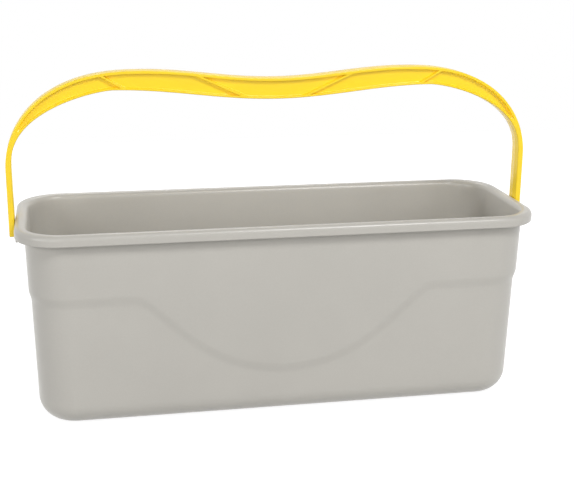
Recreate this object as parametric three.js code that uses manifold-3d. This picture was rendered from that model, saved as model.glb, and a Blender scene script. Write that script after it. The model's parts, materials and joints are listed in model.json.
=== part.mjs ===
// A long rectangular mop bucket: a moulded tub, and a bail handle that swings on two snap studs.
// Millimetres, +Z up. X runs along the tub, and the origin is the middle of its footprint on the floor.

import * as THREE from 'three';
import { mergeVertices } from 'three/addons/utils/BufferGeometryUtils.js';
import Module from 'manifold-3d';

const wasm = await Module();
wasm.setup();

// Tub
const rimLength = 520;
const rimWidth = 180;
const tubHeight = 200;
const wall = 2.8;
const draftDegrees = 1.3;
const bodyCornerRadius = 39;
const bottomEdgeRadius = 23.5;

// Rolled rim, with a skirt that hangs clear of the wall
const rimOverhang = 8.9;
const rimCornerRadius = 44;
const rimEdgeRadius = 3.2;
const rimLipRadius = 4.3;
const rimTopThickness = 2.5;
const skirtHeight = 10.7;
const skirtThickness = 2.5;

// Shoulder: the wall steps in below this line, which dips in a wide U on both long faces
const shoulderHeight = 130;
const shoulderDepth = 1.9;
const shoulderRamp = 13;
const dipBottomHeight = 50.5;
const dipArcRadius = 148;
const dipFlankDegrees = 42;
const dipCornerRadius = 22;

// Floor: it stands on a ring, and the panel inside the ring is raised
const footCornerRadius = 14;
const footRingWidth = 11;
const footRecess = 1.5;

// Ears: the skirt grows downwards round each pivot hole
const pivotDrop = 11;
const earHalfWidth = 26;
const earFlatHalfWidth = 22;
const earBelowPivot = 11;

// Bail handle, with heights taken from the pivot axis
const legGap = 0.5;
const legThickness = 5.7;
const legBelowPivot = 9.8;
const legEndRadius = 2.5;
const bailDepth = 17.6;
const bailEdgeRadius = 0.9;
const bailRise = 151.6;
const gripDip = 9.4;
const gripDepthMiddle = 20.5;
const gripDepthHump = 18.4;
const outerHumpSpacing = 270;
const innerHumpSpacing = 321;
const outerShoulderFall = 94.4;
const innerShoulderFall = 76;
const outerShoulderBulge = { sideways: 2.42, upwards: 2 };
const innerShoulderBulge = { sideways: 1.43, upwards: 2.54 };

// Recessed sides of the bail: two flanges, a web close behind the front face and four slanted ribs
const frontRecess = 3.5;
const webThickness = 3;
const topFlange = 2.9;
const bottomFlange = 2.3;
const ribThickness = 1.8;
const innerRibTop = 75.5;
const innerRibBottom = 33;
const outerRibTop = 173;
const outerRibBottom = 150;
const pocketEndFromLeg = 11.4;
const pocketEndWedge = 7.5;

// Snap studs
const studRadius = 4;
const studClearance = 0.35;
const studHeadRadius = 5.2;
const studHeadLength = 1.7;
const studHeadTaper = 1.3;
const studRoot = 2;

// Overrun of every cutter past the face it cuts
const overrun = 1;

// Facets
const cornerSteps = 6;
const longSideSteps = 28;
const radiusSteps = 4;
const lipSteps = 3;
const rampSteps = 4;
const archSteps = 12;
const roundSteps = 24;

const tubPlastic = new THREE.MeshStandardMaterial({ color: 0xb9b6ae, roughness: 0.42, metalness: 0 });
const bailPlastic = new THREE.MeshStandardMaterial({ color: 0xfcd833, roughness: 0.38, metalness: 0 });

const draft = Math.tan(THREE.MathUtils.degToRad(draftDegrees));
const pivotHeight = tubHeight - pivotDrop;
const halfDepth = bailDepth / 2;

function smoothStep(share) {
  const held = THREE.MathUtils.clamp(share, 0, 1);
  return held * held * (3 - 2 * held);
}

function span(from, to, steps) {
  return Array.from({ length: steps + 1 }, (_, i) => from + (to - from) * i / steps);
}

// A closed solid from a geometry that encloses one space.
function solidOf(geometry) {
  const bare = geometry.clone();
  bare.deleteAttribute('normal');
  bare.deleteAttribute('uv');
  const merged = mergeVertices(bare, 1e-4);
  return new wasm.Manifold(new wasm.Mesh({
    numProp: 3,
    vertProperties: new Float32Array(merged.attributes.position.array),
    triVerts: new Uint32Array(merged.index.array),
  }));
}

function geometryOf(solid) {
  const { vertProperties, triVerts } = solid.getMesh();
  const geometry = new THREE.BufferGeometry();
  geometry.setAttribute('position', new THREE.BufferAttribute(vertProperties, 3));
  geometry.setIndex(new THREE.BufferAttribute(triVerts, 1));
  geometry.computeVertexNormals();
  return geometry;
}

// How far the shoulder line lies below its straight ends: an arc, two flanks and two rounded corners.
const flank = THREE.MathUtils.degToRad(dipFlankDegrees);
const dipDepth = shoulderHeight - dipBottomHeight;
const arcHalfWidth = dipArcRadius * Math.sin(flank);
const arcRise = dipArcRadius * (1 - Math.cos(flank));
const cornerHalfWidth = dipCornerRadius * Math.sin(flank);
const cornerRise = dipCornerRadius * (1 - Math.cos(flank));
const flankWidth = (dipDepth - arcRise - cornerRise) / Math.tan(flank);
const dipHalfWidth = arcHalfWidth + flankWidth + cornerHalfWidth;

function shoulderDrop(x) {
  const fromMiddle = Math.abs(x);
  if (fromMiddle < arcHalfWidth) {
    return dipDepth - dipArcRadius + Math.sqrt(dipArcRadius ** 2 - fromMiddle ** 2);
  }
  if (fromMiddle < arcHalfWidth + flankWidth) {
    return dipDepth - arcRise - (fromMiddle - arcHalfWidth) * Math.tan(flank);
  }
  if (fromMiddle < dipHalfWidth) {
    return dipCornerRadius - Math.sqrt(dipCornerRadius ** 2 - (dipHalfWidth - fromMiddle) ** 2);
  }
  return 0;
}

// The ramp keeps its width where the line slopes, so it is taller there.
function rampStretch(x) {
  const slope = (shoulderDrop(x + wall) - shoulderDrop(x - wall)) / (2 * wall);
  return Math.hypot(1, slope);
}

// How much of the ear's drop the skirt has at this place across the short end.
function earShare(y) {
  return 1 - smoothStep((Math.abs(y) - earFlatHalfWidth) / (earHalfWidth - earFlatHalfWidth));
}

// Stations round the tub's plan. Each is a straight side's share or a corner's angle.
const shortSideShares = (() => {
  const straight = rimWidth / 2 - rimCornerRadius;
  const half = [...span(0, earFlatHalfWidth, 1), ...span(earFlatHalfWidth, earHalfWidth, 3).slice(1)];
  const up = half.map((y) => y / straight);
  return [...up.slice(1).reverse().map((share) => -share), ...up, 1];
})();
const longSideShares = span(-1, 1, longSideSteps).slice(1);

function stations() {
  const list = [];
  for (let side = 0; side < 4; side++) {
    const shares = side % 2 === 0 ? shortSideShares : longSideShares;
    shares.forEach((share) => list.push({ side, share, turn: 0 }));
    span(0, Math.PI / 2, cornerSteps).slice(1).forEach((turn) => list.push({ side, share: 1, turn }));
  }
  return list;
}
const around = stations();

// A station's place on the rounded rectangle that lies this far inside the rim's edge.
function planPoint({ side, share, turn }, inset, radius) {
  const reach = [rimLength / 2 - inset, rimWidth / 2 - inset];
  const [out, along] = side % 2 === 0 ? reach : [reach[1], reach[0]];
  const u = out - radius + radius * Math.cos(turn);
  const v = (along - radius) * share + radius * Math.sin(turn);
  const angle = side * Math.PI / 2;
  return [u * Math.cos(angle) - v * Math.sin(angle), u * Math.sin(angle) + v * Math.cos(angle)];
}
const nominal = around.map((station) => planPoint(station, rimOverhang, bodyCornerRadius));

// One row of the tub's skin. inset, radius and height may each be a number or change round the tub.
function row(inset, radius, height) {
  return around.map((station, i) => {
    const [x, y] = nominal[i];
    const z = typeof height === 'function' ? height(x, y) : height;
    const from = typeof inset === 'function' ? inset(z) : inset;
    return [...planPoint(station, from, radius), z];
  });
}

function wallInset(z, stepped, inside) {
  return rimOverhang + inside + (tubHeight - z) * draft + shoulderDepth * stepped;
}

// The wall's rows from the bottom radius up to the rim: below, on and above the shoulder's ramp.
function wallRows(inside, top) {
  const radius = bodyCornerRadius - inside;
  const rampHalf = shoulderRamp / 2;
  const rampEdge = (x, side) => shoulderHeight - shoulderDrop(x) + side * rampHalf * rampStretch(x);
  const rows = [];
  for (const share of span(0, 1, 2).slice(0, -1)) {
    const height = (x) => THREE.MathUtils.lerp(bottomEdgeRadius, rampEdge(x, -1), share);
    rows.push(row((z) => wallInset(z, 1, inside), radius, height));
  }
  for (const share of span(0, 1, rampSteps)) {
    const height = (x) => rampEdge(x, 2 * share - 1);
    rows.push(row((z) => wallInset(z, 1 - smoothStep(share), inside), radius, height));
  }
  for (const share of span(0, 1, 2).slice(1)) {
    const height = (x) => THREE.MathUtils.lerp(rampEdge(x, 1), top, share);
    rows.push(row((z) => wallInset(z, 0, inside), radius, height));
  }
  return rows;
}

// The bottom edge's rows, from the flat up to just under the wall's first row.
function bottomRows(inside) {
  const start = wallInset(bottomEdgeRadius, 1, inside);
  const edge = bottomEdgeRadius - inside;
  const rows = [];
  for (const turn of span(0, Math.PI / 2, radiusSteps + 1).slice(0, -1)) {
    const share = Math.sin(turn);
    const radius = THREE.MathUtils.lerp(footCornerRadius, bodyCornerRadius - inside, share);
    rows.push(row(start + edge * (1 - share), radius, bottomEdgeRadius - edge * Math.cos(turn)));
  }
  return rows;
}

// The floor's rows, from the raised panel's edge out to the ring.
function floorRows(inside) {
  const ring = wallInset(bottomEdgeRadius, 1, inside) + bottomEdgeRadius - inside + footRingWidth;
  const height = inside;
  return [
    row(ring + footRecess, footCornerRadius, height + footRecess),
    row(ring, footCornerRadius, height),
  ];
}

// The rim from the inner lip, over the top and down the skirt to its inner side.
function rimRows() {
  const lipInset = wallInset(tubHeight, 0, wall);
  const lipRadius = bodyCornerRadius - wall;
  const skirtBottom = (x, y) => tubHeight - skirtHeight
    - earShare(y) * (pivotDrop + earBelowPivot - skirtHeight);
  const rows = [];
  for (const turn of span(0, Math.PI / 2, lipSteps).slice(1)) {
    const inset = lipInset - rimLipRadius * (1 - Math.cos(turn));
    const height = tubHeight - rimLipRadius * (1 - Math.sin(turn));
    rows.push(row(inset, lipRadius + lipInset - inset, height));
  }
  for (const turn of span(0, Math.PI / 2, radiusSteps)) {
    const inset = rimEdgeRadius * (1 - Math.sin(turn));
    const height = tubHeight - rimEdgeRadius * (1 - Math.cos(turn));
    rows.push(row(inset, rimCornerRadius - inset, height));
  }
  rows.push(row(0, rimCornerRadius, skirtBottom));
  rows.push(row(skirtThickness, rimCornerRadius - skirtThickness, skirtBottom));
  rows.push(row(skirtThickness, rimCornerRadius - skirtThickness, tubHeight - rimTopThickness));
  return rows;
}

// Joins the rows into one skin, closed by a fan at the middle of the floor and of the underside.
function skin(rows, firstHeight, lastHeight) {
  const positions = [];
  rows.forEach((points) => points.forEach((point) => positions.push(...point)));
  positions.push(0, 0, firstHeight, 0, 0, lastHeight);
  const count = around.length;
  const first = rows.length * count;
  const index = [];
  for (let i = 0; i < count; i++) {
    const next = (i + 1) % count;
    index.push(first, i, next);
    for (let r = 0; r < rows.length - 1; r++) {
      const a = r * count;
      const b = a + count;
      index.push(a + i, b + i, b + next, a + i, b + next, a + next);
    }
    index.push(first + 1, first - count + next, first - count + i);
  }
  const geometry = new THREE.BufferGeometry();
  geometry.setAttribute('position', new THREE.Float32BufferAttribute(positions, 3));
  geometry.setIndex(index);
  return geometry;
}

// A round rod or stud along X from a profile of [distance along X, radius].
function turned(profile) {
  const points = profile.map(([along, radius]) => new THREE.Vector2(radius, along));
  const lathe = new THREE.LatheGeometry(points, roundSteps);
  lathe.rotateZ(-Math.PI / 2);
  return lathe;
}

function makeTub() {
  const inside = [
    ...floorRows(wall),
    ...bottomRows(wall),
    ...wallRows(wall, tubHeight - rimLipRadius),
  ];
  const outside = [
    ...floorRows(0),
    ...bottomRows(0),
    ...wallRows(0, tubHeight - rimTopThickness),
  ].reverse();
  let tub = solidOf(skin([...inside, ...rimRows(), ...outside], wall + footRecess, footRecess));
  const holeRadius = studRadius + studClearance;
  for (const end of [-1, 1]) {
    const hole = turned([
      [-skirtThickness - overrun, 0],
      [-skirtThickness - overrun, holeRadius],
      [overrun, holeRadius],
      [overrun, 0],
    ]);
    if (end < 0) hole.rotateY(Math.PI);
    hole.translate(end * rimLength / 2, 0, pivotHeight);
    tub = tub.subtract(solidOf(hole));
  }
  return tub;
}

// Half of one edge of the bail, from the middle of the grip to the leg: a dip, then a rounded shoulder. The
// shoulder is a quarter of an oval, squarer where its bulge is above 2 and flatter where it is below.
function bailEdge({ crown, dip, hump, leg, fall, bulge }) {
  const points = span(0, hump, archSteps).map((x) => (
    [x, crown - dip * (1 + Math.cos(Math.PI * x / hump)) / 2]
  ));
  for (const turn of span(0, Math.PI / 2, archSteps).slice(1)) {
    const out = Math.sin(turn) ** (2 / bulge.sideways);
    const up = Math.cos(turn) ** (2 / bulge.upwards);
    points.push([hump + (leg - hump) * out, crown - fall * (1 - up)]);
  }
  return points;
}

const legInner = rimLength / 2 + legGap;
const legOuter = legInner + legThickness;
const outerEdge = bailEdge({
  crown: bailRise,
  dip: gripDip,
  hump: outerHumpSpacing / 2,
  leg: legOuter,
  fall: outerShoulderFall,
  bulge: outerShoulderBulge,
});
const innerEdge = bailEdge({
  crown: bailRise - gripDepthHump,
  dip: gripDip + gripDepthMiddle - gripDepthHump,
  hump: innerHumpSpacing / 2,
  leg: legInner,
  fall: innerShoulderFall,
  bulge: innerShoulderBulge,
});

// The edge moved sideways by the flange's thickness, to the right of its direction if that is positive.
function offsetEdge(edge, distance) {
  return edge.map(([x, z], i) => {
    const before = edge[Math.max(i - 1, 0)];
    const after = edge[Math.min(i + 1, edge.length - 1)];
    const dx = i === 0 ? 1 : after[0] - before[0];
    const dz = i === 0 ? 0 : after[1] - before[1];
    const length = Math.hypot(dx, dz);
    return [x + distance * dz / length, z - distance * dx / length];
  });
}
const pocketTop = offsetEdge(outerEdge, topFlange);
const pocketBottom = offsetEdge(innerEdge, -bottomFlange);

// The height of an edge above the pivot at a distance from the middle.
function heightAt(edge, x) {
  const i = Math.max(1, edge.findIndex((point) => point[0] >= x));
  const [before, after] = [edge[i - 1], edge[i]];
  return before[1] + (after[1] - before[1]) * (x - before[0]) / (after[0] - before[0]);
}

// The part of an edge between two distances from the middle.
function cutEdge(edge, from, to) {
  const between = edge.filter(([x]) => x > from && x < to);
  return [[from, heightAt(edge, from)], ...between, [to, heightAt(edge, to)]];
}

// The pocket's outline between two slanted sides, each given by its distance from the middle at top and bottom.
function pocketOutline(from, to) {
  const top = cutEdge(pocketTop, from.top, to.top);
  const bottom = cutEdge(pocketBottom, from.bottom, to.bottom);
  return [...bottom, ...top.reverse()];
}

// The ribs' sides, seen along the grip: half the thickness to each side of its slanted middle line.
function ribSide(top, bottom, side) {
  const slant = Math.hypot(1, (top - bottom) / (gripDepthHump - topFlange - bottomFlange));
  const shift = side * slant * ribThickness / 2;
  return { top: top + shift, bottom: bottom + shift };
}

const pocketTip = legInner - pocketEndFromLeg;
const pocketEnd = { top: pocketTip - pocketEndWedge, bottom: pocketTip };
const bays = [
  pocketOutline(ribSide(innerRibTop, innerRibBottom, 1), ribSide(outerRibTop, outerRibBottom, -1)),
  pocketOutline(ribSide(outerRibTop, outerRibBottom, 1), pocketEnd),
];
const middleHalf = pocketOutline({ top: 0, bottom: 0 }, ribSide(innerRibTop, innerRibBottom, -1));

function mirrored(outline) {
  return outline.map(([x, z]) => [-x, z]).reverse();
}

// Extrudes an outline of [x, z] across the bail, between two places on Y.
function plate(outline, fromY, toY, edge) {
  const shape = new THREE.Shape(outline.map(([x, z]) => new THREE.Vector2(x, z)));
  const geometry = new THREE.ExtrudeGeometry(shape, {
    depth: toY - fromY - 2 * edge,
    bevelEnabled: edge > 0,
    bevelThickness: edge,
    bevelSize: edge,
    bevelOffset: -edge,
    bevelSegments: 2,
  });
  geometry.rotateX(Math.PI / 2);
  geometry.translate(0, toY - edge, 0);
  return geometry;
}

// What trims the legs' lower ends: a block below them, hollowed to a flat end with two rounded corners.
function legEndCutter() {
  const shape = new THREE.Shape();
  const reach = halfDepth + overrun;
  const flat = halfDepth - legEndRadius;
  const cornerHeight = legEndRadius - legBelowPivot;
  const bottom = -legBelowPivot - 2 * overrun;
  shape.moveTo(-reach, cornerHeight);
  shape.lineTo(-halfDepth, cornerHeight);
  shape.absarc(-flat, cornerHeight, legEndRadius, Math.PI, 1.5 * Math.PI, false);
  shape.absarc(flat, cornerHeight, legEndRadius, 1.5 * Math.PI, 2 * Math.PI, false);
  shape.lineTo(reach, cornerHeight);
  shape.lineTo(reach, bottom);
  shape.lineTo(-reach, bottom);
  const geometry = new THREE.ExtrudeGeometry(shape, {
    depth: 2 * (legOuter + overrun),
    bevelEnabled: false,
    curveSegments: radiusSteps,
  });
  geometry.rotateX(Math.PI / 2);
  geometry.rotateZ(Math.PI / 2);
  geometry.translate(-legOuter - overrun, 0, 0);
  return geometry;
}

// One snap stud, pointing along +X from the leg's inner face: a root in the leg, a shank and a tapered head.
function studProfile() {
  const headStart = legGap + skirtThickness + studClearance;
  const headEnd = headStart + studHeadLength;
  return [
    [-studRoot, 0],
    [-studRoot, studRadius],
    [headStart, studRadius],
    [headStart, studHeadRadius],
    [headEnd, studHeadRadius - studHeadTaper],
    [headEnd, 0],
  ];
}

function makeBail() {
  const legEnd = -legBelowPivot - overrun;
  const right = [...outerEdge, [legOuter, legEnd]];
  const rightInner = [...innerEdge, [legInner, legEnd]];
  const upper = [...mirrored(right), ...right.slice(1)];
  const lower = [...mirrored(rightInner), ...rightInner.slice(1)];
  let bail = solidOf(plate([...upper, ...lower.reverse()], -halfDepth, halfDepth, bailEdgeRadius));
  bail = bail.subtract(solidOf(legEndCutter()));
  const middle = [...mirrored(middleHalf).slice(1), ...middleHalf.slice(1)];
  const outlines = [middle, ...bays, ...bays.map(mirrored)];
  const webFront = frontRecess - halfDepth;
  for (const outline of outlines) {
    const front = plate(outline, -halfDepth - overrun, webFront, 0);
    const back = plate(outline, webFront + webThickness, halfDepth + overrun, 0);
    bail = bail.subtract(solidOf(front)).subtract(solidOf(back));
  }
  for (const end of [-1, 1]) {
    const stud = turned(studProfile());
    if (end > 0) stud.rotateY(Math.PI);
    stud.translate(end * legInner, 0, 0);
    bail = bail.add(solidOf(stud));
  }
  return bail;
}

const tub = new THREE.Mesh(geometryOf(makeTub()), tubPlastic);
tub.name = 'tub';

const bailHandle = new THREE.Mesh(geometryOf(makeBail()), bailPlastic);
bailHandle.name = 'bail_handle';
bailHandle.position.set(0, 0, pivotHeight);

const bucket = new THREE.Group();
bucket.add(tub, bailHandle);

export default bucket;
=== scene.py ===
import json
import math

import bmesh
import bpy
import numpy as np
from mathutils import Matrix, Vector


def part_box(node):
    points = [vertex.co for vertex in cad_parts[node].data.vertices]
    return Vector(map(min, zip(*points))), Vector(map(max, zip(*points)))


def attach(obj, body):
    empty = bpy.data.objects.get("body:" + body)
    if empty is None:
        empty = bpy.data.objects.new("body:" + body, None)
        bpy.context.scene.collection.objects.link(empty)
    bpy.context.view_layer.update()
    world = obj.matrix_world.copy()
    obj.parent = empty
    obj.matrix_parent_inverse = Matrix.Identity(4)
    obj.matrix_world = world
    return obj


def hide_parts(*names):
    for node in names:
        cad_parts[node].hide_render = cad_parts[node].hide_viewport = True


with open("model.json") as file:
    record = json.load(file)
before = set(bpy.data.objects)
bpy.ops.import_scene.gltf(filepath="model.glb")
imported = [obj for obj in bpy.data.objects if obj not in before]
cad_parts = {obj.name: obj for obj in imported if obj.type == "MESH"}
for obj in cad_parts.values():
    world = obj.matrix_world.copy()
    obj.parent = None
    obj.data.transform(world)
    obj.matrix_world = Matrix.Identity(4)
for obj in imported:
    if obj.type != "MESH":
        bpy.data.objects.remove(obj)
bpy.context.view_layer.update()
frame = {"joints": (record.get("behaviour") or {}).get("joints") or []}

mm = 0.001

# Tub
# One injection moulding of warm grey polypropylene: the floor on its foot ring, the drafted walls with a
# shoulder that dips in a wide U on both long faces, and the rolled rim, whose skirt grows into an ear round
# each pivot hole.
tub_low, tub_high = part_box("tub")
rim_length = tub_high.x - tub_low.x
rim_width = tub_high.y - tub_low.y
tub_height = tub_high.z - tub_low.z
wall = 2.8 * mm
draft = math.tan(math.radians(1.3))
body_corner_radius = 39 * mm
bottom_edge_radius = 23.5 * mm

rim_overhang = 8.9 * mm
rim_corner_radius = 44 * mm
rim_edge_radius = 5 * mm
rim_lip_radius = 5.4 * mm
rim_top_thickness = 2.5 * mm
rim_root_radius = 1.5 * mm
skirt_height = 10.7 * mm
skirt_thickness = 2.5 * mm
skirt_edge_radius = 1.15 * mm

shoulder_height = 130 * mm
shoulder_depth = 1.9 * mm
shoulder_ramp = 13 * mm
dip_bottom_height = 50.5 * mm
dip_arc_radius = 148 * mm
dip_flank = math.radians(42)
dip_corner_radius = 22 * mm

foot_corner_radius = 14 * mm
foot_ring_width = 11 * mm
foot_recess = 1.5 * mm
gate_radius = 7 * mm
gate_depth = 0.5 * mm
gate_nub_radius = 1.6 * mm

pivot_height = frame["joints"][0]["pos_m"][2]
pivot_drop = tub_height - pivot_height
ear_half_width = 26 * mm
ear_flat_half_width = 22 * mm
ear_below_pivot = 11 * mm
stud_radius = 4 * mm
stud_clearance = 0.35 * mm
hole_edge_radius = 0.4 * mm

long_side_steps = 132
short_side_steps = 30
corner_steps = 16
fillet_steps = 5
round_steps = 64
same_place = 1e-6
sharp_angle = 40


def smooth_step(share):
    held = np.clip(share, 0, 1)
    return held * held * (3 - 2 * held)


def quarter(steps):
    """The angles of a quarter turn, both ends included."""
    return np.linspace(0, math.pi / 2, steps + 1)


dip_depth = shoulder_height - dip_bottom_height
arc_half_width = dip_arc_radius * math.sin(dip_flank)
arc_rise = dip_arc_radius * (1 - math.cos(dip_flank))
corner_half_width = dip_corner_radius * math.sin(dip_flank)
corner_rise = dip_corner_radius * (1 - math.cos(dip_flank))
flank_width = (dip_depth - arc_rise - corner_rise) / math.tan(dip_flank)
dip_half_width = arc_half_width + flank_width + corner_half_width


def shoulder_drop(x):
    """How far the shoulder line lies below its straight ends: an arc, two flanks and two rounded corners."""
    out = np.abs(x)
    arc = dip_depth - dip_arc_radius + np.sqrt(dip_arc_radius ** 2 - np.minimum(out, arc_half_width) ** 2)
    flank = dip_depth - arc_rise - (out - arc_half_width) * math.tan(dip_flank)
    to_corner = np.clip(dip_half_width - out, 0, corner_half_width)
    corner = dip_corner_radius - np.sqrt(dip_corner_radius ** 2 - to_corner ** 2)
    beyond_arc = np.where(out < arc_half_width + flank_width, flank, corner)
    return np.where(out < arc_half_width, arc, beyond_arc)


# Stations go round the tub once. Each is a place on a straight side or an angle round a corner.
station_side, station_share, station_turn = [], [], []
for side in range(4):
    steps = short_side_steps if side % 2 == 0 else long_side_steps
    for share in np.linspace(-1, 1, steps + 1):
        station_side.append(side)
        station_share.append(share)
        station_turn.append(0)
    for turn in quarter(corner_steps)[1:-1]:
        station_side.append(side)
        station_share.append(1)
        station_turn.append(turn)
station_side = np.array(station_side)
station_share = np.array(station_share)
station_turn = np.array(station_turn)
station_count = len(station_side)


def plan(inset, radius):
    """The rounded rectangle that lies this far inside the rim's edge, as x and y at every station."""
    on_end = station_side % 2 == 0
    reach_x = rim_length / 2 - inset
    reach_y = rim_width / 2 - inset
    out = np.where(on_end, reach_x, reach_y)
    along = np.where(on_end, reach_y, reach_x)
    u = out - radius + radius * np.cos(station_turn)
    v = (along - radius) * station_share + radius * np.sin(station_turn)
    angle = station_side * math.pi / 2
    return u * np.cos(angle) - v * np.sin(angle), u * np.sin(angle) + v * np.cos(angle)


station_x, station_y = plan(rim_overhang, body_corner_radius)
station_drop = shoulder_drop(station_x)
drop_slope = (shoulder_drop(station_x + wall) - shoulder_drop(station_x - wall)) / (2 * wall)
ramp_half = shoulder_ramp / 2 * np.hypot(1, drop_slope)
ear_share = 1 - smooth_step((np.abs(station_y) - ear_flat_half_width) / (ear_half_width - ear_flat_half_width))
skirt_bottom = tub_height - skirt_height - ear_share * (pivot_drop + ear_below_pivot - skirt_height)


def row(inset, radius, height):
    x, y = plan(inset, radius)
    return np.stack([x, y, np.broadcast_to(height, x.shape)], axis=1)


def wall_inset(height, stepped, inside):
    return rim_overhang + inside + (tub_height - height) * draft + shoulder_depth * stepped


def wall_row(height, stepped, inside):
    return row(wall_inset(height, stepped, inside), body_corner_radius - inside, height)


def wall_rows(inside, top):
    """From the bottom radius up to the rim: below, on and above the shoulder's ramp."""
    middle = shoulder_height - station_drop
    rows = []
    for share in np.linspace(0, 1, 9)[:-1]:
        height = bottom_edge_radius + share * (middle - ramp_half - bottom_edge_radius)
        rows.append(wall_row(height, 1, inside))
    for share in np.linspace(0, 1, 13):
        height = middle + ramp_half * (2 * share - 1)
        rows.append(wall_row(height, 1 - smooth_step(share), inside))
    for share in np.linspace(0, 1, 11)[1:]:
        height = middle + ramp_half + share * (top - middle - ramp_half)
        rows.append(wall_row(height, 0, inside))
    return rows


def bottom_rows(inside):
    """The bottom edge's big radius, from the flat up to just under the wall's first row."""
    start = wall_inset(bottom_edge_radius, 1, inside)
    edge = bottom_edge_radius - inside
    rows = []
    for turn in quarter(16)[:-1]:
        share = math.sin(turn)
        radius = foot_corner_radius + share * (body_corner_radius - inside - foot_corner_radius)
        height = bottom_edge_radius - edge * math.cos(turn)
        rows.append(row(start + edge * (1 - share), radius, height))
    return rows


def gate_rows(height, outline, down):
    """The floor's middle: the outline closes to a round gate mark, sunk on one side, with a nub on both."""
    angle = 2 * math.pi * (np.arange(station_count) - short_side_steps / 2) / station_count
    circle = np.stack([np.cos(angle), np.sin(angle)], axis=1)

    def ring(radius, lift):
        return np.column_stack([circle * radius, np.full(station_count, height + lift)])

    sunk = gate_depth if down else 0
    rows = [ring(gate_nub_radius * 0.3, sunk * 0.4), ring(gate_nub_radius * 0.8, sunk * 0.5)]
    rows += [ring(gate_nub_radius, sunk), ring(gate_radius - gate_depth, sunk), ring(gate_radius, 0)]
    for share in np.linspace(0, 1, 5)[1:-1]:
        rows.append((1 - share) * rows[4] + share * outline)
    return rows


def floor_rows(inside):
    """The raised panel, its soft edge and the ring round it that the tub stands on."""
    ring = wall_inset(bottom_edge_radius, 1, inside) + bottom_edge_radius - inside + foot_ring_width
    rows = []
    for share in np.linspace(0, 1, 7):
        lift = foot_recess * (1 - smooth_step(share))
        rows.append(row(ring + 2 * foot_recess * (1 - share), foot_corner_radius, inside + lift))
    rows.append(row(ring - foot_recess, foot_corner_radius, inside))
    inner = row(ring + 4 * foot_recess, foot_corner_radius, inside + foot_recess)
    return gate_rows(inside + foot_recess, inner, inside == 0) + [inner] + rows


def rim_rows():
    """The rim from the inner lip over the top, down the skirt, round its edge and up into the hollow."""
    lip_inset = wall_inset(tub_height, 0, wall)
    lip_corner = body_corner_radius - wall + lip_inset
    rows = []
    for turn in quarter(fillet_steps)[1:]:
        inset = lip_inset - rim_lip_radius * (1 - math.cos(turn))
        rows.append(row(inset, lip_corner - inset, tub_height - rim_lip_radius * (1 - math.sin(turn))))
    flat_from = lip_inset - rim_lip_radius
    for share in (0.12, 0.88):
        inset = flat_from + share * (rim_edge_radius - flat_from)
        corner = lip_corner + share * (rim_corner_radius - lip_corner)
        rows.append(row(inset, corner - inset, tub_height))
    for turn in quarter(2 * fillet_steps):
        inset = rim_edge_radius * (1 - math.sin(turn))
        rows.append(row(inset, rim_corner_radius - inset, tub_height - rim_edge_radius * (1 - math.cos(turn))))
    edge_top = tub_height - rim_edge_radius
    edge_end = skirt_bottom + skirt_edge_radius
    for share in np.linspace(0, 1, 11)[1:]:
        rows.append(row(0, rim_corner_radius, edge_top + share * (edge_end - edge_top)))
    for turn in quarter(fillet_steps)[1:]:
        inset = skirt_edge_radius * (1 - math.cos(turn))
        height = skirt_bottom + skirt_edge_radius * (1 - math.sin(turn))
        rows.append(row(inset, rim_corner_radius - inset, height))
    for turn in quarter(fillet_steps):
        inset = skirt_thickness - skirt_edge_radius * (1 - math.sin(turn))
        height = skirt_bottom + skirt_edge_radius * (1 - math.cos(turn))
        rows.append(row(inset, rim_corner_radius - inset, height))
    roof = tub_height - rim_top_thickness
    root_end = roof - rim_root_radius
    for share in np.linspace(0, 1, 7)[1:]:
        height = edge_end + share * (root_end - edge_end)
        rows.append(row(skirt_thickness, rim_corner_radius - skirt_thickness, height))
    for turn in quarter(fillet_steps)[1:]:
        inset = skirt_thickness + rim_root_radius * (1 - math.cos(turn))
        height = root_end + rim_root_radius * math.sin(turn)
        rows.append(row(inset, rim_corner_radius - inset, height))
    wall_at_root = wall_inset(root_end, 0, 0)
    for turn in quarter(fillet_steps)[:-1]:
        inset = wall_at_root - rim_root_radius * (1 - math.sin(turn))
        height = roof - rim_root_radius * (1 - math.cos(turn))
        rows.append(row(inset, body_corner_radius + wall_at_root - inset, height))
    return rows


def loft(name, rows, close_ends):
    """A mesh from rows of points that all have the same count. Each row is a closed loop."""
    count = len(rows[0])
    mesh = bmesh.new()
    loops = [[mesh.verts.new(point) for point in points] for points in rows]
    for loop, following in zip(loops, loops[1:]):
        for i in range(count):
            j = (i + 1) % count
            mesh.faces.new([loop[i], following[i], following[j], loop[j]])
    if close_ends:
        mesh.faces.new(loops[0])
        mesh.faces.new(loops[-1][::-1])
    bmesh.ops.remove_doubles(mesh, verts=mesh.verts, dist=same_place)
    bmesh.ops.dissolve_degenerate(mesh, edges=mesh.edges, dist=same_place / 10)
    bmesh.ops.recalc_face_normals(mesh, faces=mesh.faces)
    data = bpy.data.meshes.new(name)
    mesh.to_mesh(data)
    mesh.free()
    piece = bpy.data.objects.new(name, data)
    bpy.context.scene.collection.objects.link(piece)
    return piece


def turned(name, profile):
    """A round solid along X, from its profile of (place along X, radius)."""
    angles = 2 * math.pi * np.arange(round_steps) / round_steps
    rows = [
        np.stack([np.full(round_steps, along), radius * np.cos(angles), radius * np.sin(angles)], axis=1)
        for along, radius in profile
    ]
    return loft(name, rows, close_ends=True)


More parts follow.
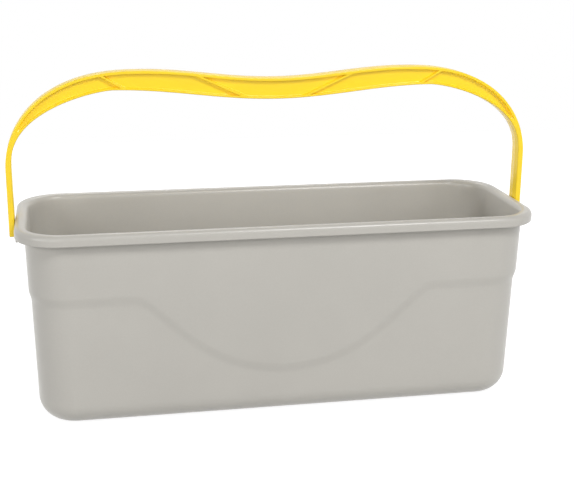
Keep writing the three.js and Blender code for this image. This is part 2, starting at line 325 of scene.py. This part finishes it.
def combine(piece, tool, operation):
    """Cuts the tool out of the piece, or joins it on, and throws the tool away."""
    boolean = piece.modifiers.new(operation, "BOOLEAN")
    boolean.operation = operation
    boolean.solver = "EXACT"
    boolean.object = tool
    bpy.context.view_layer.update()
    result = bpy.data.meshes.new_from_object(piece.evaluated_get(bpy.context.evaluated_depsgraph_get()))
    piece.modifiers.clear()
    old = piece.data
    piece.data = result
    bpy.data.meshes.remove(old)
    bpy.data.meshes.remove(tool.data)


def smooth(piece):
    piece.data.shade_smooth()
    piece.data.set_sharp_from_angle(angle=math.radians(sharp_angle))


inside_rows = floor_rows(wall) + bottom_rows(wall) + wall_rows(wall, tub_height - rim_lip_radius)
outside_rows = floor_rows(0) + bottom_rows(0) + wall_rows(0, tub_height - rim_top_thickness - rim_root_radius)
tub = loft("tub_moulding", inside_rows + rim_rows() + outside_rows[::-1], close_ends=True)

hole_radius = stud_radius + stud_clearance
for end in (-1, 1):
    outer_face = end * rim_length / 2
    inner_face = outer_face - end * skirt_thickness
    flare = [(1 - math.cos(turn), 1 - math.sin(turn)) for turn in quarter(fillet_steps)]
    profile = [(outer_face + end * mm, hole_radius + hole_edge_radius)]
    profile += [
        (outer_face - end * hole_edge_radius * along, hole_radius + hole_edge_radius * out)
        for along, out in flare
    ]
    profile += [
        (inner_face + end * hole_edge_radius * along, hole_radius + hole_edge_radius * out)
        for along, out in reversed(flare)
    ]
    profile += [(inner_face - end * mm, hole_radius + hole_edge_radius)]
    hole = turned("pivot_hole", profile)
    hole.location.z = pivot_height
    combine(tub, hole, "DIFFERENCE")
smooth(tub)


class Signal:
    """One value that runs through a material, so that sums on it are written as plain expressions."""

    def __init__(self, finish, socket):
        self.finish = finish
        self.socket = socket

    def math(self, operation, *values):
        return self.finish.add("ShaderNodeMath", {"operation": operation}, dict(enumerate(values)))

    def __add__(self, other):
        return self.math("ADD", self, other)

    def __sub__(self, other):
        return self.math("SUBTRACT", self, other)

    def __rsub__(self, other):
        return self.math("SUBTRACT", other, self)

    def __mul__(self, other):
        return self.math("MULTIPLY", self, other)

    __radd__ = __add__
    __rmul__ = __mul__


class Finish:
    """The nodes of a material, or of the studio's sky, under construction."""

    def __init__(self, holder):
        self.holder = holder
        holder.use_nodes = True
        self.tree = holder.node_tree
        self.tree.nodes.clear()

    def add(self, kind, settings=None, sockets=None, output=0):
        """Adds a node, makes its settings first, then fills its sockets, and returns one of its outputs."""
        node = self.tree.nodes.new(kind)
        for name, value in (settings or {}).items():
            setattr(node, name, value)
        for name, value in (sockets or {}).items():
            if isinstance(value, Signal):
                self.tree.links.new(value.socket, node.inputs[name])
            else:
                node.inputs[name].default_value = value
        return Signal(self, node.outputs[output]) if node.outputs else None

    def band(self, value, low, high, at_low=0, at_high=1):
        """A smooth change from one value to another as the signal goes from low to high."""
        return self.add("ShaderNodeMapRange", {"interpolation_type": "SMOOTHSTEP"}, {
            "Value": value, "From Min": low, "From Max": high, "To Min": at_low, "To Max": at_high,
        })

    def noise(self, place, size, detail=2, stretch=(1, 1, 1)):
        """Noise whose lumps are about this size in metres, drawn out by the stretch."""
        scaled = self.add("ShaderNodeVectorMath", {"operation": "DIVIDE"}, {0: place, 1: stretch})
        return self.add("ShaderNodeTexNoise", {}, {
            "Vector": scaled, "Scale": 1 / size, "Detail": detail, "Roughness": 0.55,
        })

    def mix(self, share, first, second):
        return self.add("ShaderNodeMix", {"data_type": "RGBA"}, {
            "Factor": share, 6: first, 7: second,
        }, output=2)

    def bump(self, height, distance, strength, under=None):
        sockets = {"Height": height, "Distance": distance, "Strength": strength}
        if under is not None:
            sockets["Normal"] = under
        return self.add("ShaderNodeBump", {}, sockets)

    def surface(self, sockets, constants):
        shader = self.add("ShaderNodeBsdfPrincipled", {}, {**constants, **sockets})
        self.add("ShaderNodeOutputMaterial", {}, {"Surface": shader})

    def background_rays(self):
        """1 for a ray that should meet the plain background: the camera's, a reflection's or one through glass."""
        camera, glossy, through = [
            self.add("ShaderNodeLightPath", output=name)
            for name in ("Is Camera Ray", "Is Glossy Ray", "Is Transmission Ray")
        ]
        return camera.math("MAXIMUM", camera, glossy.math("MAXIMUM", glossy, through))


def colour(red, green, blue, share=1):
    """A colour written as it shows on screen, from 0 to 255, made linear and brightened by a share."""
    linear = []
    for level in (red, green, blue):
        s = level / 255
        linear.append((s / 12.92 if s <= 0.04045 else ((s + 0.055) / 1.055) ** 2.4) * share)
    return (*linear, 1)


tub_grey = (187, 184, 177)
tub_roughness = 0.28
plastic = {"IOR": 1.49, "Specular IOR Level": 0.5}
grey = Finish(bpy.data.materials.new("tub_plastic"))
place = grey.add("ShaderNodeTexCoord", output="Object")
cloud = grey.noise(place, 90 * mm, detail=3)
speck = grey.noise(place, 1.6 * mm, detail=3)
grain = grey.noise(place, 0.55 * mm, detail=2)
flow = grey.noise(place, 22 * mm, detail=4, stretch=(1, 1, 5))
scuff = grey.noise(place, 2.2 * mm, detail=2, stretch=(14, 14, 1))
scuffed = grey.band(scuff, 0.62, 0.72) * grey.band(cloud, 0.45, 0.65)
tone = grey.band(cloud, 0.3, 0.7) * 0.6 + grey.band(speck, 0.35, 0.65) * 0.4
grey.surface({
    "Base Color": grey.mix(tone, colour(*tub_grey, 0.975), colour(*tub_grey, 1.02)),
    "Roughness": tub_roughness + grey.band(flow, 0.3, 0.7) * 0.02 + scuffed * 0.03,
    "Normal": grey.bump(grain, 0.02 * mm, 0.5, under=grey.bump(cloud, 1.2 * mm, 0.35)),
}, plastic)
tub.data.materials.append(grey.holder)
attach(tub, "tub")
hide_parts("tub")

# Bail handle
# One injection moulding of yellow polypropylene: a wavy grip with a web close behind its front face, between
# two flanges, stiffened on both sides by four slanted ribs, two flat legs with rounded corners at the end,
# and a snap stud inside each leg that turns in the ear's hole.
leg_gap = 0.5 * mm
leg_thickness = 5.7 * mm
leg_below_pivot = 9.8 * mm
leg_end_radius = 2.5 * mm
bail_depth = 17.6 * mm
bail_edge_radius = 0.9 * mm
bail_rise = 151.6 * mm
grip_dip = 9.4 * mm
grip_depth_middle = 20.5 * mm
grip_depth_hump = 18.4 * mm
outer_hump = 135 * mm
inner_hump = 160.5 * mm
outer_shoulder_fall = 94.4 * mm
inner_shoulder_fall = 76 * mm
outer_shoulder_bulge = (2.42, 2)
inner_shoulder_bulge = (1.43, 2.54)

front_recess = 3.5 * mm
web_thickness = 3 * mm
top_flange = 2.9 * mm
bottom_flange = 1.9 * mm
rib_thickness = 1.8 * mm
ribs = [(75.5 * mm, 33 * mm), (170.5 * mm, 150.5 * mm)]
pocket_tip_height = 96 * mm
pocket_taper = 10 * mm
mouth_radius = 0.35 * mm
pocket_draft = 0.3 * mm
web_fillet = 0.9 * mm
widest_top_rim = 0.42
widest_bottom_rim = 0.36
pocket_walls_need = 2.4
seam_width = 0.3 * mm
seam_height = 0.08 * mm

stud_head_radius = 5.2 * mm
stud_head_length = 1.7 * mm
stud_head_taper = 1.3 * mm
stud_head_chamfer = 0.2 * mm
stud_tip_chamfer = 0.3 * mm
stud_root = 2 * mm
stud_fillet = 0.6 * mm
column_spacing = 2 * mm

half_depth = bail_depth / 2
leg_inner = rim_length / 2 + leg_gap
leg_outer = leg_inner + leg_thickness


class Edge:
    """Half of one edge of the bail, measured from the middle of the grip: a dip, a shoulder and the leg. The
    shoulder is a quarter of an oval, whose two bulges, sideways and upwards, are 2 on a true oval."""

    def __init__(self, crown, dip, hump, leg, fall, bulge):
        grip_x = np.linspace(0, hump, 200)
        grip_z = crown - dip * (1 + np.cos(math.pi * grip_x / hump)) / 2
        turn = quarter(300)[1:]
        shoulder_x = hump + (leg - hump) * np.sin(turn) ** (2 / bulge[0])
        shoulder_z = crown - fall * (1 - np.cos(turn).clip(0) ** (2 / bulge[1]))
        self.x = np.concatenate([grip_x, shoulder_x, [leg]])
        self.z = np.concatenate([grip_z, shoulder_z, [leg_end_radius - leg_below_pivot]])
        steps = np.hypot(np.diff(self.x), np.diff(self.z))
        self.run = np.concatenate([[0], np.cumsum(steps)])

    def at(self, run):
        return np.array([np.interp(run, self.run, self.x), np.interp(run, self.run, self.z)])

    def normal(self, run):
        """The outward normal: up on the grip, to the right on the leg."""
        x, z = self.at(run + 0.5 * mm) - self.at(max(run - 0.5 * mm, 0))
        return np.array([-z, x]) / math.hypot(x, z) if run > 0 else np.array([0, 1])

    def run_at_x(self, x):
        return np.interp(x, self.x, self.run)

    def run_at_z(self, z):
        return np.interp(-z, -self.z, self.run)


outer_edge = Edge(bail_rise, grip_dip, outer_hump, leg_outer, outer_shoulder_fall, outer_shoulder_bulge)
inner_edge = Edge(bail_rise - grip_depth_hump, grip_dip + grip_depth_middle - grip_depth_hump,
                  inner_hump, leg_inner, inner_shoulder_fall, inner_shoulder_bulge)

# The pocket's side wall from its rounded mouth to the fillet at the web: (run into the pocket, share of the
# pocket's depth that isn't fillet, and the rest of the depth).
mouth = [(-mouth_radius * (1 - math.sin(turn)), 0, mouth_radius * (1 - math.cos(turn))) for turn in quarter(3)]
foot = [
    (pocket_draft + web_fillet * (1 - math.cos(turn)), 1, -web_fillet * (1 - math.sin(turn)))
    for turn in quarter(4)
]
pocket_wall = mouth + foot
wall_run = pocket_wall[-1][0]
back_recess = bail_depth - front_recess - web_thickness

# Columns cross the bail from its outer edge to its inner edge. Each has its two places along the edges and
# the share of the pocket's full depth there. Beside a rib they lie parallel to it.
columns = []


def span_columns(start, stop, share_at):
    """Evenly spaced columns between two pairs of places, the first one left out."""
    steps = max(2, round(np.abs(np.subtract(stop, start)).max() / column_spacing))
    for share in np.linspace(0, 1, steps + 1)[1:]:
        place = np.add(start, share * np.subtract(stop, start))
        columns.append((place[0], place[1], share_at(share)))


columns.append((0, 0, 1))
rib_side = [(rib_thickness / 2 + run, max(0, part + rest / front_recess)) for run, part, rest in pocket_wall]
for rib_top, rib_bottom in ribs:
    slant = (rib_top - rib_bottom) / (grip_depth_hump - top_flange - bottom_flange)
    centre = np.array([
        outer_edge.run_at_x(rib_top + slant * top_flange),
        inner_edge.run_at_x(rib_bottom - slant * bottom_flange),
    ])
    side = [(run * math.hypot(1, slant), share) for run, share in rib_side]
    span_columns(columns[-1][:2], centre - side[-1][0], lambda share: 1)
    for shift, share in reversed(side[:-1]):
        columns.append((*(centre - shift), share))
    for shift, share in side:
        columns.append((*(centre + shift), share))

tip = (outer_edge.run_at_z(pocket_tip_height), inner_edge.run_at_z(pocket_tip_height - leg_thickness / 2))
taper_start = np.subtract(tip, pocket_taper)
span_columns(columns[-1][:2], taper_start, lambda share: 1)
span_columns(taper_start, tip, lambda share: math.sqrt(max(0, 1 - share)))
shoulder_end = bail_rise - outer_shoulder_fall
span_columns(tip, (outer_edge.run_at_z(shoulder_end), inner_edge.run_at_z(shoulder_end)), lambda share: 0)
leg_end = (outer_edge.run[-1], inner_edge.run[-1])
span_columns(columns[-1][:2], leg_end, lambda share: 0)

edge_round = [
    (bail_edge_radius * (1 - math.cos(turn)), bail_edge_radius * (1 - math.sin(turn)))
    for turn in quarter(4)
]


def section(outer_run, inner_run, share, recess):
    """One side of a column as (x, z, how far in from the face), from the outer edge's middle to the inner's."""
    top = outer_edge.at(outer_run)
    bottom = inner_edge.at(inner_run)
    across = bottom - top
    length = math.hypot(*across)
    across /= length
    slant_top = 1 / -np.dot(across, outer_edge.normal(outer_run))
    slant_bottom = 1 / -np.dot(across, inner_edge.normal(inner_run))
    top_rim = min(top_flange * slant_top, widest_top_rim * length)
    bottom_rim = min(bottom_flange * slant_bottom, widest_bottom_rim * length)
    room = length - top_rim - bottom_rim
    squeeze = min(1, room / (pocket_walls_need * wall_run * max(slant_top, slant_bottom)))
    deep = [share * min(1, squeeze * 2) * (part * recess + rest) for run, part, rest in pocket_wall]
    sides = []
    for slant, rim in ((slant_top, top_rim), (slant_bottom, bottom_rim)):
        side = [(-seam_height * slant, half_depth), (0, half_depth - seam_width)]
        side += [(run * slant, inset) for run, inset in edge_round]
        side += [
            (rim + run * slant * squeeze, inset) for (run, part, rest), inset in zip(pocket_wall, deep)
        ]
        sides.append(side)
    middle = [(top_rim + room / 2, deep[-1])]
    runs = sides[0] + middle + [(length - run, inset) for run, inset in reversed(sides[1])]
    return [(*(top + across * run), inset) for run, inset in runs]


def ring_of(column, turn):
    """The closed loop of a column. At the leg's end its points turn round the end's rounded corners."""
    flat = half_depth - leg_end_radius

    def place(x, z, inset):
        reach = max(0, leg_end_radius - inset)
        out = half_depth - inset if turn == 0 else min(flat, half_depth - inset) + reach * math.cos(turn)
        return x, out, z - reach * math.sin(turn)

    front = [place(*point) for point in section(*column, front_recess)]
    back = [place(*point) for point in section(*column, back_recess)]
    loop = [(x, -y, z) for x, y, z in front] + [(x, y, z) for x, y, z in reversed(back[1:-1])]
    return np.array(loop)


right = [ring_of(column, 0) for column in columns]
right += [ring_of(columns[-1], turn) for turn in quarter(6)[1:]]
right.append(right[-1] * (1, 0, 1))
left = [ring * (-1, 1, 1) for ring in reversed(right[1:])]
bail = loft("bail_moulding", left + right, close_ends=False)

head_start = leg_gap + skirt_thickness + stud_clearance
head_end = head_start + stud_head_length
tip_radius = stud_head_radius - stud_head_taper
for end in (-1, 1):
    profile = [(-stud_root, stud_radius)]
    profile += [
        (stud_fillet * (1 - math.cos(turn)), stud_radius + stud_fillet * (1 - math.sin(turn)))
        for turn in quarter(fillet_steps)
    ]
    profile += [
        (head_start, stud_radius),
        (head_start, stud_head_radius - stud_head_chamfer),
        (head_start + stud_head_chamfer, stud_head_radius),
        (head_end - stud_tip_chamfer, tip_radius + stud_head_chamfer),
        (head_end, tip_radius - stud_head_chamfer),
    ]
    stud = turned("stud", [(end * (leg_inner - along), radius) for along, radius in profile])
    combine(bail, stud, "UNION")
bail.data.transform(Matrix.Translation((0, 0, pivot_height)))
smooth(bail)

bail_yellow = (254, 218, 38)
bail_roughness = 0.21
yellow = Finish(bpy.data.materials.new("bail_plastic"))
place = yellow.add("ShaderNodeTexCoord", output="Object")
cloud = yellow.noise(place, 45 * mm, detail=3)
flow = yellow.noise(place, 7 * mm, detail=4, stretch=(5, 1, 1))
tone = yellow.band(cloud, 0.3, 0.7) * 0.6 + yellow.band(flow, 0.3, 0.7) * 0.4
yellow.surface({
    "Base Color": yellow.mix(tone, colour(*bail_yellow, 0.98), colour(*bail_yellow, 1.01)),
    "Roughness": bail_roughness + yellow.band(flow, 0.3, 0.7) * 0.05,
    "Normal": yellow.bump(cloud, 0.6 * mm, 0.3),
}, plastic)
bail.data.materials.append(yellow.holder)
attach(bail, "bail")
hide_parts("bail_handle")

# Floor
# A white studio floor that shows as the same white as the background, and still takes the bucket's shadow. Its
# glow and the sky's are left to the rays that meet them, so that reflections get all of it.
floor_reach = 1.4
floor_drop = 0.2 * mm
lit_paper = 0.7
shaded_paper = 0.3
paper_glow = 0.88
floor_mesh = bmesh.new()
corners = [(-1, -1), (1, -1), (1, 1), (-1, 1)]
floor_mesh.faces.new([floor_mesh.verts.new((x * floor_reach, y * floor_reach, -floor_drop)) for x, y in corners])
floor_data = bpy.data.meshes.new("floor")
floor_mesh.to_mesh(floor_data)
floor_mesh.free()
floor = bpy.data.objects.new("floor", floor_data)
bpy.context.scene.collection.objects.link(floor)

paper = Finish(bpy.data.materials.new("floor_paper"))
lit = paper.add("ShaderNodeBsdfDiffuse", {}, {"Color": (lit_paper, lit_paper, lit_paper, 1)})
shaded = paper.add("ShaderNodeBsdfDiffuse", {}, {"Color": (shaded_paper, shaded_paper, shaded_paper, 1)})
glow = paper.add("ShaderNodeEmission", {}, {"Color": (1, 1, 1, 1), "Strength": paper_glow})
backdrop = paper.add("ShaderNodeAddShader", {}, {0: shaded, 1: glow})
paper.add("ShaderNodeOutputMaterial", {}, {
    "Surface": paper.add("ShaderNodeMixShader", {}, {"Fac": paper.background_rays(), 1: lit, 2: backdrop}),
})
paper.holder.cycles.emission_sampling = "NONE"
floor_data.materials.append(paper.holder)

# Light
# A plain studio: a small key high on the right, large soft boxes low all round, one high at the back and a faint
# dome. Each box has its azimuth and elevation in degrees, its side in metres, its power in watts and whether it
# shows in reflections.
dome_level = 0.03
soft_boxes = [
    ("key_soft_box", 23, 47, 0.65, 28, True),
    ("front_soft_box", -25, 20, 1.2, 12, True),
    ("left_soft_box", -60, 20, 1.2, 19, True),
    ("right_soft_box", 50, 21, 1.2, 18, False),
    ("back_left_soft_box", -140, 20, 1.2, 28, False),
    ("back_right_soft_box", 140, 20, 1.2, 28, False),
    ("back_soft_box", 180, 50, 1.2, 15, True),
]
soft_box_distance = 2.6
sky = Finish(bpy.data.worlds.new("studio"))
dome = sky.add("ShaderNodeBackground", {}, {"Color": (1, 1, 1, 1), "Strength": dome_level})
white = sky.add("ShaderNodeBackground", {}, {"Color": (1, 1, 1, 1), "Strength": 1})
sky.add("ShaderNodeOutputWorld", {}, {
    "Surface": sky.add("ShaderNodeMixShader", {}, {"Fac": sky.background_rays(), 1: dome, 2: white}),
})
sky.holder.cycles.sampling_method = "NONE"
bpy.context.scene.world = sky.holder

target = Vector((0, 0, tub_height / 2))
for name, azimuth, elevation, size, power, reflects in soft_boxes:
    lamp = bpy.data.lights.new(name, "AREA")
    lamp.shape = "SQUARE"
    lamp.size = size
    lamp.energy = power
    holder = bpy.data.objects.new(name, lamp)
    side, height = math.radians(azimuth), math.radians(elevation)
    direction = Vector((math.sin(side) * math.cos(height), -math.cos(side) * math.cos(height), math.sin(height)))
    holder.location = target + soft_box_distance * direction
    holder.rotation_euler = direction.to_track_quat("Z", "Y").to_euler()
    holder.visible_glossy = reflects
    bpy.context.scene.collection.objects.link(holder)

# Camera
# It stands in front, a little to the left and above, where the photograph was taken from.
photo_width = 574
focal_pixels = 1135.18
camera_place = (-209.48 * mm, -1117.12 * mm, 483.81 * mm)
yaw, pitch, roll = 0.19775, 0.28456, 0.00885

camera_data = bpy.data.cameras.new("camera")
camera_data.sensor_width = 36
camera_data.lens = focal_pixels / photo_width * camera_data.sensor_width
camera_data.clip_end = 50
forward = Vector((math.sin(yaw) * math.cos(pitch), math.cos(yaw) * math.cos(pitch), -math.sin(pitch)))
level_right = Vector((math.cos(yaw), -math.sin(yaw), 0))
level_up = level_right.cross(forward)
camera_right = math.cos(roll) * level_right + math.sin(roll) * level_up
camera_up = math.cos(roll) * level_up - math.sin(roll) * level_right
camera = bpy.data.objects.new("camera", camera_data)
camera.matrix_world = Matrix((camera_right, camera_up, -forward)).transposed().to_4x4()
camera.location = camera_place
bpy.context.scene.collection.objects.link(camera)
bpy.context.scene.camera = camera
bpy.context.scene.view_settings.view_transform = "Standard"

# Update
# The scene's objects are brought up to date.
bpy.context.view_layer.update()
